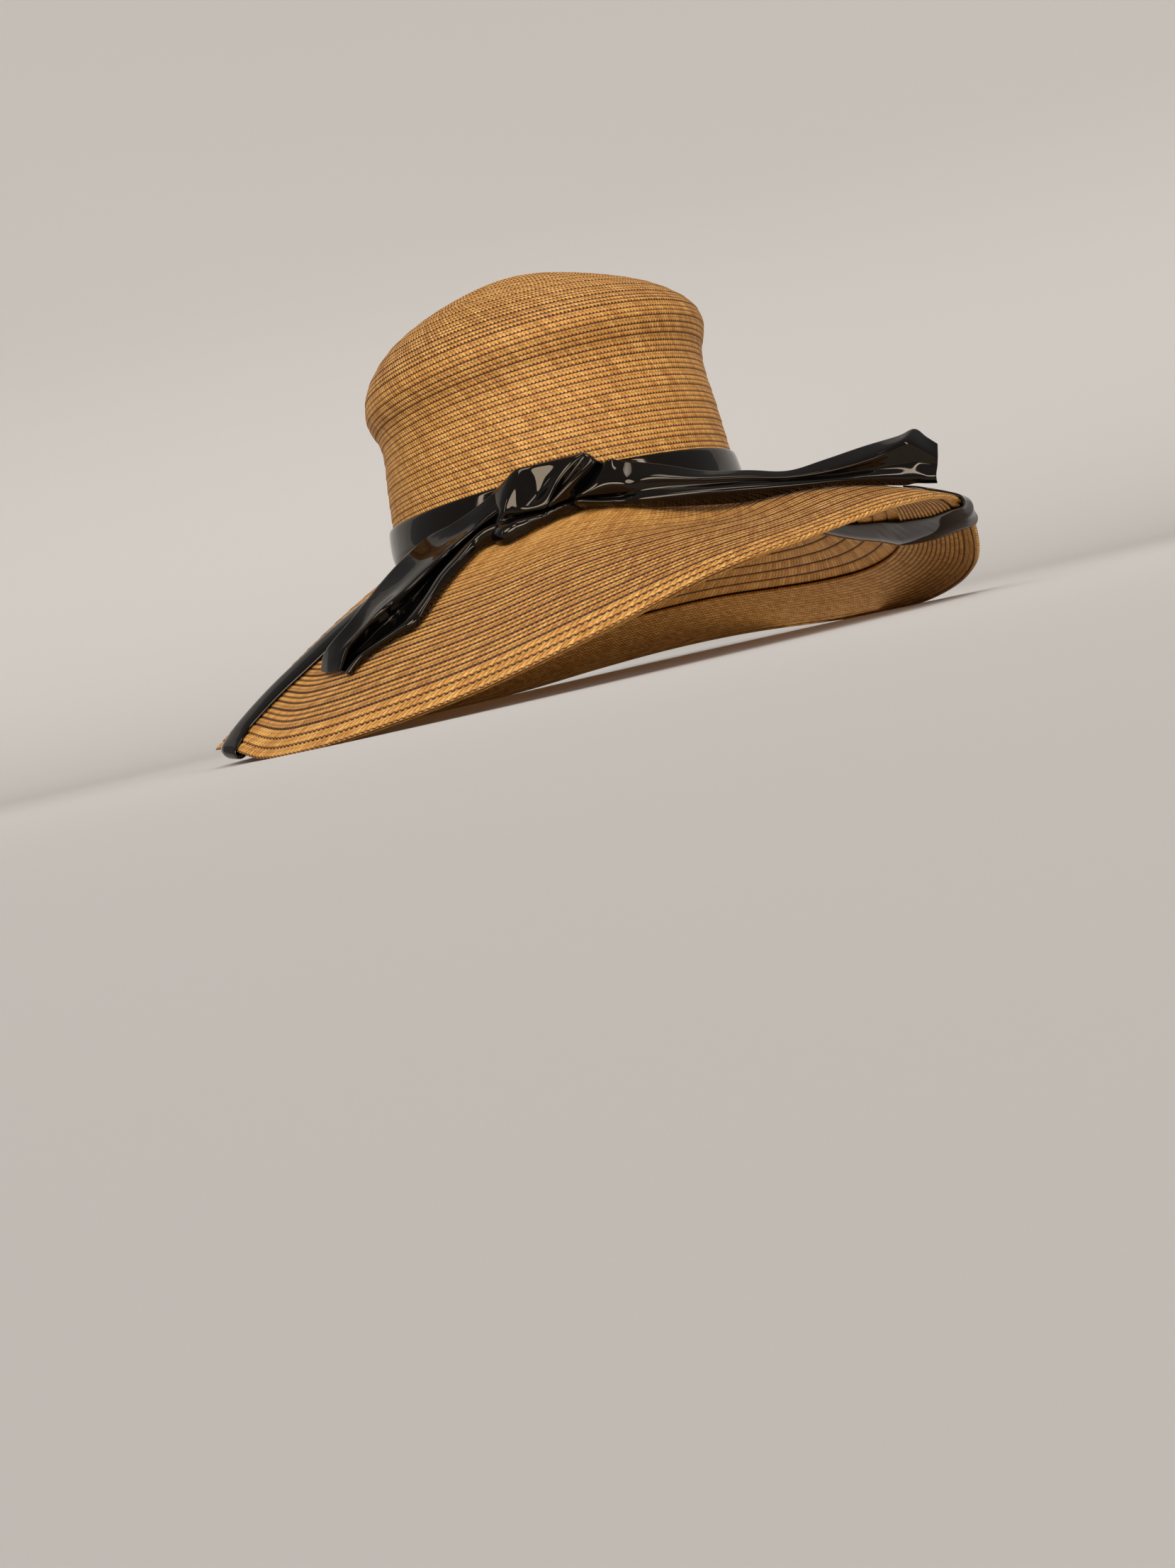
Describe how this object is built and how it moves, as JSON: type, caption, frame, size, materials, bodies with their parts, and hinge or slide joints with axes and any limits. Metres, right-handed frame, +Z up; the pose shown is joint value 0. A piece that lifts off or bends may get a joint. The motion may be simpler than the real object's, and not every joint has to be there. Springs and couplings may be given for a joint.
{
  "type": "straw sun hat",
  "caption": "Wide-brimmed hat of sewn straw braid with a lifted front brim, a gathered black patent band tied in front, and straps round the rim.",
  "frame": {"origin": "middle of the hat's outline from above, on the floor", "axes": "+Z up along the crown, -Y towards the front where the band is tied, +X towards the lifted side of the brim"},
  "size_m": [0.389, 0.389, 0.1997],
  "materials": {
    "straw_braid": "plaited straw, matt with a faint sheen",
    "straw_facing": "fine plaited straw, matt",
    "patent_vinyl": "high gloss black"
  },
  "bodies": {
    "root": {"crown": "straw_braid", "brim": "straw_braid", "brim_facing": "straw_facing", "crown_band": "patent_vinyl", "knot": "patent_vinyl", "tail_left": "patent_vinyl", "tail_right": "patent_vinyl", "strap_left": "patent_vinyl", "strap_right": "patent_vinyl"}
  },
  "joints": []
}
